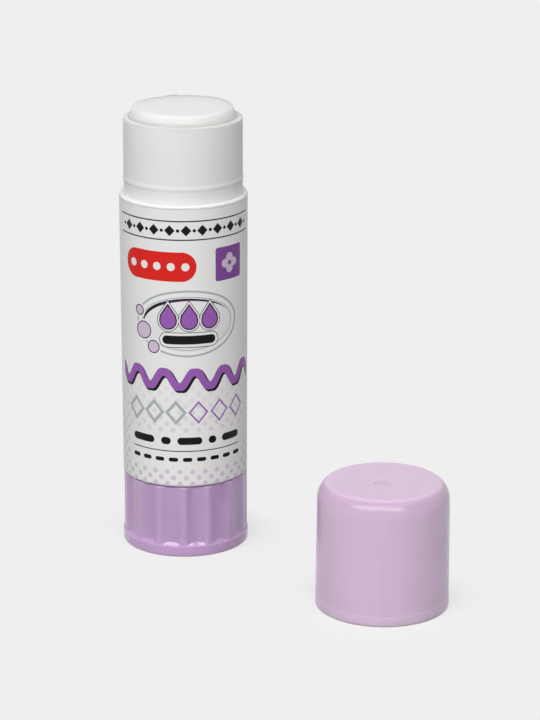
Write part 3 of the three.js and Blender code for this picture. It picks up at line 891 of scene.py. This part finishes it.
class GLUESTICK_OT_knob(Operator):
    """The lilac knob: a turned cup whose grip is pressed in by a ring of flutes"""

    bl_idname = "glue_stick.knob"
    bl_label = "Knob"

    def execute(self, context):
        s, colours = sizes_and_colours()
        flange = KNOB_HIGH.x
        sleeve = s.bore_radius - 0.2 * MM
        well = sleeve - 1.2 * MM
        floor = 1.8 * MM
        grip, grip_foot = s.grip_radius, s.flange_height
        snap = s.knob_height + 2 * MM
        ring_depth, soft = 0.4 * MM, 0.15 * MM  # of the shallow ring in the underside, and its edges
        foot = refined(filleted([
            (0, 0),
            (9.6 * MM, 0, soft),
            (9.9 * MM, ring_depth, soft),
            (10.9 * MM, ring_depth, soft),
            (11.2 * MM, 0, soft),
            (flange, 0, 0.5 * MM),
            (flange, grip_foot, 0.13 * MM),
            (grip, grip_foot),
        ]), 1.2 * MM)
        wall = refined(filleted([
            (grip, grip_foot + s.cove_height),
            (grip, s.knob_height, 0.25 * MM),
            (sleeve, s.knob_height),
            (sleeve, snap - 0.6 * MM),
            (sleeve + 0.4 * MM, snap - 0.3 * MM),
            (sleeve + 0.4 * MM, snap),
            (sleeve, snap + 0.6 * MM),
            (sleeve, KNOB_HIGH.z, 0.3 * MM),
            (well, KNOB_HIGH.z, 0.3 * MM),
            (well, floor, 0.6 * MM),
            (0, floor),
        ]), 1.2 * MM)[1:]
        # each flute ends in a steep facet, which runs straight from its wall out onto the flange
        share = np.linspace(0, 1, 4)
        cove_press = 1 - s.cove_reach / s.flute_depth * (1 - share)
        cove_rows = np.stack([np.full(len(share), grip), np.full(len(share), grip_foot)], axis=-1)
        # the grip is pressed in up to its shoulder, and the shoulder's top only near its edge
        wall_press = smooth_step(wall[:, 0], grip - 1.6 * MM, grip - 0.3 * MM)
        wall_press *= wall[:, 1] < s.knob_height + HAIR
        profile = np.concatenate([foot, cove_rows, wall])
        press = np.concatenate([np.zeros(len(foot)), cove_press, wall_press])[:, None]
        lift = np.concatenate([np.zeros(len(foot)), share, np.zeros(len(wall))])[:, None]
        angle = around(FLUTES * FLUTE_COLUMNS)
        depth = self.flutes(s, angle)
        radius = profile[:, :1] - press * depth
        height = profile[:, 1:] + lift * s.cove_height * np.sqrt(depth / s.flute_depth)
        piece = skin("knob_grip", ring_points(radius, height, angle), sharp=24)
        material = lilac_plastic(colours, s)
        hand_over(piece, "knob", material, "knob")
        for part in (self.boss(s, floor), self.webs(s, floor, well)):
            hand_over(part, "knob", material)
        return {"FINISHED"}

    def boss(self, s, floor):
        """The boss in the knob, round outside, with a six-sided socket: its wall lies at flat / cos a, where
        a is the angle from the nearest flat's middle."""
        angle = around(BOSS_COLUMNS)
        round_wall = np.full(BOSS_COLUMNS, s.boss_radius)
        socket = s.socket_flat / np.cos(from_nearest(angle, 6))
        top = floor + s.boss_height
        low = floor - 0.2 * MM
        rows = [
            (round_wall, low),
            (round_wall, top - 0.3 * MM),
            (round_wall - 0.3 * MM, top),
            (socket + 0.2 * MM, top),
            (socket, top - 0.2 * MM),
            (socket, low),
        ]
        radius = np.stack([radius for radius, _ in rows])
        height = np.array([[height] for _, height in rows])
        return skin("knob_boss", ring_points(radius, height, angle), wrap_rows=True)

    def webs(self, s, floor, well):
        """Thin upright webs from the boss to the wall, each a box turned to its place."""
        half = 0.5 * MM
        near, far = s.boss_radius - 0.3 * MM, well + 0.3 * MM
        low, high = floor - 0.2 * MM, floor + s.web_height
        outline = ((near, -half), (far, -half), (far, half), (near, half))
        box = np.array([[x, y, z] for z in (low, high) for x, y in outline])
        turn = around(WEBS)[:, None] + math.pi / WEBS
        x = box[:, 0] * np.cos(turn) - box[:, 1] * np.sin(turn)
        y = box[:, 0] * np.sin(turn) + box[:, 1] * np.cos(turn)
        points = np.stack([x, y, np.broadcast_to(box[:, 2], x.shape)], axis=-1)
        sides = np.array([(0, 3, 2, 1), (4, 5, 6, 7), (0, 1, 5, 4), (1, 2, 6, 5), (2, 3, 7, 6), (3, 0, 4, 7)])
        faces = (sides[None] + len(box) * np.arange(WEBS)[:, None, None]).reshape(-1, 4)
        return finish_mesh("knob_webs", mesh_of("knob_webs", points, faces), 30)

    def flutes(self, s, angle):
        """Depth of the flutes at an angle: a round hollow through both ridges' edges and its deepest point,
        with the edges rounded by a smooth maximum, (d + sqrt(d d + k k)) / 2."""
        pitch = TAU / FLUTES
        from_middle = from_nearest(angle, FLUTES, FRONT + pitch / 2)
        across = s.grip_radius * np.sin(from_middle)
        half_width = s.grip_radius * math.sin(pitch / 2) - s.ridge_width / 2
        edge = s.flute_depth - s.grip_radius * (1 - math.cos(pitch / 2))
        hollow = (half_width ** 2 + edge ** 2) / (2 * edge)
        inwards = s.grip_radius * (1 - np.cos(from_middle))
        depth = s.flute_depth - (hollow - np.sqrt(np.maximum(hollow ** 2 - across ** 2, 0))) - inwards
        soft = 0.16 * MM
        return (depth + np.sqrt(depth ** 2 + soft ** 2)) / 2


class GLUESTICK_OT_glue(Operator):
    """The glue column, with a worn and slightly uneven top, and the ring of old glue left on the rim"""

    bl_idname = "glue_stick.glue"
    bl_label = "Glue"

    def execute(self, context):
        s, colours = sizes_and_colours()
        hand_over(self.column(s), "carrier", waxy_glue("waxy_glue", colours.glue, 9 * MM), "glue")
        # the film on the rim is painted 6 % darker than the glue: a painted shade on the ring, which faces
        # the light
        film = waxy_glue("glue_film", shaded(colours.glue, 0.94), 0.15 * MM)
        hand_over(self.smear(s), "barrel", film)
        return {"FINISHED"}

    def column(self, s):
        """Turned from one profile, whose radius then gives way to the bore's ribs. Above the rim a field
        of slow waves moves its side, and others sink its top. At the back a lip is pushed out."""
        waves, lip_reach = 0.06 * MM, 0.95 * MM
        rim, top = BARREL_HIGH.z, GLUE_HIGH.z - 2 * HAIR
        side = s.bore_radius - s.glue_gap
        cup = GLUE_HIGH.x - 1.4 * MM
        shelf = CARRIER_LOW.z + 11.3 * MM
        hollow = s.screw_crest + 0.5 * MM
        hub = 5.8 * MM
        hollow_top = SCREW_HIGH.z + 5.5 * MM
        inside = [
            (0, hollow_top),
            (hollow, hollow_top, 0.5 * MM),
            (hollow, CARRIER_HIGH.z + 0.3 * MM),
            (hub, CARRIER_HIGH.z + 0.3 * MM),
            (hub, GLUE_LOW.z),
            (cup, GLUE_LOW.z),
            (cup, shelf),
            (side, shelf),
            (side, top - s.glue_flare),
        ]
        # the flare hollows inwards from the bore, then climbs almost straight to the worn edge
        share = np.linspace(0, 1, 16)[1:-1]
        widest = side - s.glue_top_radius
        edge = 0.2 * MM
        flare = np.stack([s.glue_top_radius + widest * (0.45 * (1 - share) + 0.55 * (1 - share) ** 4),
                          top - s.glue_flare + share * (s.glue_flare - edge)], axis=-1)
        worn = [
            (s.glue_top_radius, top - edge),
            (s.glue_top_radius - edge / 2, top, 1.1 * edge),
            (0, top),
        ]
        profile = np.concatenate([
            refined(filleted(inside), 0.9 * MM), flare, refined(filleted(worn), 0.5 * MM)])
        angle = around(GLUE_COLUMNS)
        radius, height = profile[:, :1], profile[:, 1:]
        on_side = (radius > side - HAIR) & (height < rim - 0.7 * MM)
        channel = on_ribs(angle, s.bore_radius, s.rib_width / 2 + 0.2 * MM)
        radius = radius - (s.rib_height + 0.1 * MM) * on_side * channel
        above = smooth_step(height, rim + 0.5 * MM, rim + 1.5 * MM)
        outer = smooth_step(radius, 7 * MM, 11 * MM)
        radius = radius + waves * ripple(angle, height, seed=4) * above * outer
        pushed = smooth_step(height, top - 1.2 * MM, top - 0.1 * MM)
        radius = radius + lip_reach * self.lip(angle) * pushed * outer
        on_top = smooth_step(height, top - 0.5 * MM, top - 0.05 * MM)
        sunk = np.maximum(1 + ripple(angle, radius, seed=9, reach=4, pitch=6 * MM), 0)
        dish = waves * sunk * smooth_step(radius, 0, 5 * MM)
        return skin("glue_column", ring_points(radius, height - dish * on_top, angle), sharp=60)

    def lip(self, angle):
        """0 to 1: the lip pushed out at the back, which rises slowly on one side and falls quickly on
        the other."""
        degrees = np.degrees(angle) % 360
        return smooth_step(degrees, 122, 101) * smooth_step(degrees, 96, 98.5)

    def smear(self, s):
        """A closed ring on the rim: its section falls from its inner edge in a hollow curve, (1 - share) to
        the power 1.5. It reaches nearly to the rim's outer edge, except at the back, and slow waves round
        the ring change its height and reach."""
        rim = BARREL_HIGH.z
        inner = s.bore_radius - 2 * HAIR
        angle = around(GLUE_COLUMNS)
        share = np.linspace(0, 1, 16)[:, None]
        unrest = ripple(angle, np.zeros_like(angle), seed=12, reach=9)
        fine = ripple(angle, share * MM, seed=5, reach=40, waves=9, pitch=1.5 * MM)
        at_back = smooth_step(np.sin(angle), 0.02, 0.3)
        rise = s.smear_height * (1 + 0.16 * unrest) * (1 - 0.45 * at_back)
        reach = s.neck_radius - inner - (0.15 + 0.3 * at_back) * MM
        reach = reach + 0.02 * MM * ripple(angle, np.zeros_like(angle), seed=21, reach=12)
        out = inner + reach * share
        fall = (1 - share) ** 1.5
        # the rim's own round edge falls away below the outer half of the ring
        edge = np.maximum(out - (s.neck_radius - s.rim_round), 0)
        drop = s.rim_round - np.sqrt(np.maximum(s.rim_round ** 2 - edge ** 2, 0))
        up = rim + HAIR - drop + rise * fall + 0.015 * MM * fine * np.sin(share * math.pi)
        under = inner + reach * np.array([[0.97], [0.5], [0]])
        radius = np.concatenate([out, under])
        height = np.concatenate([up, np.full(under.shape, rim - 0.25 * MM)])
        return skin("rim_smear", ring_points(radius, height, angle), wrap_rows=True, sharp=75)


class GLUESTICK_OT_cap(Operator):
    """The milky cap: a drafted shell with a band round its mouth, a round top edge and a moulding mark"""

    bl_idname = "glue_stick.cap"
    bl_label = "Cap"

    def execute(self, context):
        s, colours = sizes_and_colours()
        top = CAP_HIGH.z
        band = (CAP_HIGH.x - CAP_LOW.x) / 2
        side = band - 0.03 * MM
        side_top = side - s.cap_draft - 0.05 * MM
        inner = side - s.cap_wall
        inner_top = inner - s.cap_draft
        ceiling = top - 1.1 * MM
        mouth = inner + 0.25 * MM
        groove = 3.15 * MM
        groove_radius = inner + 0.24 * MM
        corner = oval_corner(side_top, top, s.corner_width, s.corner_height)
        outside = filleted([
            (mouth, 0),
            (band, 0, 0.25 * MM),
            (band, s.cap_band, 0.02 * MM),
            (side - HAIR, s.cap_band + 0.02 * MM, 0.02 * MM),
            (side, s.cap_band + 0.2 * MM),
            (side_top, top - s.corner_height),
        ])
        inside = filleted([
            (0, ceiling),
            (inner_top, ceiling, 2 * MM),
            (inner, groove + 2.3 * MM),
            (groove_radius, groove + 2.0 * MM),
            (groove_radius, groove + 0.25 * MM),
            (inner, groove),
            (inner, 0.3 * MM, 0.15 * MM),
            (mouth, 0),
        ])
        rings = np.linspace(corner[-1, 0], 0, 72)[1:]
        disc = np.stack([rings, np.full_like(rings, top)], axis=-1)
        profile = np.concatenate([
            refined(inside, 1.0 * MM)[:-1], refined(outside, 1.0 * MM)[:-1], corner, disc])
        radius, height = profile[:, :1], profile[:, 1:]
        grid = ring_points(radius, height, around(CAP_COLUMNS), (CAP_X, CAP_Y))
        on_top = height > ceiling + 0.6 * MM
        grid[..., 2] -= self.marks(s, grid[..., 0] - CAP_X, grid[..., 1] - CAP_Y) * on_top
        piece = skin("cap_shell", grid, sharp=30)
        hand_over(piece, "cap", milky_plastic(colours), "cap")
        return {"FINISHED"}

    def marks(self, s, x, y):
        """Depth of the marks in the top, which sags a little and has a sunk round gate mark in its middle
        and a small dent on the left."""
        sag_depth, gate_depth, dent_depth = 0.06 * MM, 0.3 * MM, 0.22 * MM
        from_middle = np.hypot(x, y + 0.9 * MM)
        gate = 1 - smooth_step(from_middle, s.gate_radius - 0.35 * MM, s.gate_radius + 0.05 * MM)
        dent = 1 - smooth_step(np.hypot(x + 8.2 * MM, y - 0.2 * MM), 0.1 * MM, 0.7 * MM)
        sag = smooth_step(from_middle, 12 * MM, 6 * MM)
        return sag_depth * sag + gate_depth * gate + dent_depth * dent


class GLUESTICK_OT_inside(Operator):
    """Finishes the screw and the carrier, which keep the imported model's shape"""

    bl_idname = "glue_stick.inside"
    bl_label = "Screw and carrier"

    def execute(self, context):
        _, colours = sizes_and_colours()
        material = natural_plastic(colours)
        for name in ("screw", "carrier"):
            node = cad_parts[name]
            node.data.materials.clear()
            node.data.materials.append(material)
        return {"FINISHED"}


# Stage


CAMERA_PLACE = (20.22 * MM, -650.80 * MM, 247.73 * MM)
CAMERA_PITCH = math.radians(17.363)  # below level
CAMERA_ROLL = 0.0017
CAMERA_LENS = 143.97  # millimetres, on a frame 36 mm high
SOFT_BOX_DISTANCE = 3.5
SOFT_BOX_TURN = math.radians(-12)  # from straight in front, to the left
SOFT_BOX_RISE = math.radians(42)
SOFT_BOX_HALF_WIDTH = math.radians(42)
SOFT_BOX_HALF_HEIGHT = math.radians(11)
SOFT_BOX_GLOW = 6.0  # its brightness, where white paper in even light has 1
DOME_LEVEL = 0.36
FLOOR_HALF_WIDTH = 4.0
FLOOR_GREY = (0.15,) * 3
FLOOR_PAINT = 1.04  # how much lighter than the backdrop the painted share is, so that lit it matches it
FLOOR_SHADOW_SHARE = 0.27
FLOOR_SHADOW_NEAR = 16 * MM  # from the middle of the stick or the cap
FLOOR_SHADOW_FAR = 25 * MM


class GLUESTICK_OT_stage(Operator):
    """Plain pale floor, soft studio light and the camera"""

    bl_idname = "glue_stick.stage"
    bl_label = "Stage"

    def execute(self, context):
        _, colours = sizes_and_colours()
        self.floor(colours)
        self.light(context.scene, colours)
        self.camera(context.scene)
        context.scene.view_settings.view_transform = "Standard"
        return {"FINISHED"}

    def floor(self, colours):
        """The floor that the camera sees is mostly an even glow in the backdrop's colour. Close to the stick
        and the cap a share of it is paint that takes the light and so shows their shadows. For the light
        that it throws back onto them, it is a plain grey."""
        corners = FLOOR_HALF_WIDTH * np.array([(-1, -1, 0), (1, -1, 0), (1, 1, 0), (-1, 1, 0)])
        mesh = mesh_of("floor", corners, np.array([(0, 1, 2, 3)]))
        finish = Finish("floor_paint", {
            "Roughness": 1, "Specular IOR Level": 0, "Emission Strength": 1})
        x, y, _ = finish.parts(finish.place())
        across = x - CAP_X
        along = y - CAP_Y
        nearest = (x * x + y * y).root().smaller((across * across + along * along).root())
        far = nearest.between(FLOOR_SHADOW_NEAR, FLOOR_SHADOW_FAR)
        seen = finish.seen()
        paint = shaded(colours.floor, FLOOR_SHADOW_SHARE * FLOOR_PAINT)
        glow = shaded(colours.floor, 1 - FLOOR_SHADOW_SHARE)
        finish.set("Base Color", finish.blend(seen, FLOOR_GREY, finish.blend(far, paint, (0, 0, 0))))
        finish.set("Emission Color", finish.blend(seen, (0, 0, 0), finish.blend(far, glow, colours.floor)))
        mesh.materials.append(finish.material)
        linked("floor", mesh)

    def light(self, scene, colours):
        """A soft dome that the camera sees as a plain backdrop, and one wide soft box high in front."""
        world = bpy.data.worlds.new("studio")
        world.use_nodes = True
        nodes = Nodes(world.node_tree)
        sky = world.node_tree.nodes["Background"]
        nodes.plug(sky.inputs["Color"], nodes.blend(nodes.seen(), (DOME_LEVEL,) * 3, colours.floor))
        scene.world = world

        lamp = bpy.data.lights.new("soft_box", "AREA")
        lamp.shape = "RECTANGLE"
        lamp.size = 2 * SOFT_BOX_DISTANCE * math.tan(SOFT_BOX_HALF_WIDTH)
        lamp.size_y = 2 * SOFT_BOX_DISTANCE * math.tan(SOFT_BOX_HALF_HEIGHT)
        lamp.energy = math.pi * SOFT_BOX_GLOW * lamp.size * lamp.size_y
        level = math.cos(SOFT_BOX_RISE)
        towards = Vector((
            level * math.sin(SOFT_BOX_TURN), -level * math.cos(SOFT_BOX_TURN), math.sin(SOFT_BOX_RISE)))
        turn = towards.to_track_quat("Z", "Y").to_matrix().to_4x4()
        linked("soft_box", lamp).matrix_world = Matrix.Translation(towards * SOFT_BOX_DISTANCE) @ turn

    def camera(self, scene):
        """The camera's axes: right and up turned by the roll, and back opposite to the view."""
        forward = Vector((0, math.cos(CAMERA_PITCH), -math.sin(CAMERA_PITCH)))
        level_up = Vector((0, math.sin(CAMERA_PITCH), math.cos(CAMERA_PITCH)))
        level_right = Vector((1, 0, 0))
        right = level_right * math.cos(CAMERA_ROLL) + level_up * math.sin(CAMERA_ROLL)
        up = level_up * math.cos(CAMERA_ROLL) - level_right * math.sin(CAMERA_ROLL)
        view = bpy.data.cameras.new("view")
        view.lens = CAMERA_LENS
        view.sensor_width = 36
        view.clip_start = 0.01
        view.clip_end = 20
        axes = Matrix((right, up, -forward)).transposed().to_4x4()
        scene.camera = linked("view", view)
        scene.camera.matrix_world = Matrix.Translation(CAMERA_PLACE) @ axes


class GLUESTICK_PT_panel(Panel):
    """The glue stick's sizes, colours and operators"""

    bl_idname = "GLUESTICK_PT_panel"
    bl_label = "Glue Stick"
    bl_space_type = "VIEW_3D"
    bl_region_type = "UI"
    bl_category = "Glue Stick"

    def draw(self, context):
        for group in (context.scene.glue_stick_sizes, context.scene.glue_stick_colours):
            for key in group.__annotations__:
                self.layout.prop(group, key)
        for operator in OPERATORS:
            self.layout.operator(operator.bl_idname)


OPERATORS = (
    GLUESTICK_OT_barrel,
    GLUESTICK_OT_label,
    GLUESTICK_OT_knob,
    GLUESTICK_OT_glue,
    GLUESTICK_OT_cap,
    GLUESTICK_OT_inside,
    GLUESTICK_OT_stage,
)
CLASSES = (GlueStickSizes, GlueStickColours, *OPERATORS, GLUESTICK_PT_panel)


def register():
    for cls in CLASSES:
        bpy.utils.register_class(cls)
    bpy.types.Scene.glue_stick_sizes = PointerProperty(type=GlueStickSizes)
    bpy.types.Scene.glue_stick_colours = PointerProperty(type=GlueStickColours)


def unregister():
    del bpy.types.Scene.glue_stick_colours
    del bpy.types.Scene.glue_stick_sizes
    for cls in reversed(CLASSES):
        bpy.utils.unregister_class(cls)


def main():
    register()
    bpy.ops.glue_stick.barrel()
    bpy.ops.glue_stick.label()
    bpy.ops.glue_stick.knob()
    bpy.ops.glue_stick.glue()
    bpy.ops.glue_stick.cap()
    bpy.ops.glue_stick.inside()
    bpy.ops.glue_stick.stage()


if __name__ == "__main__":
    main()
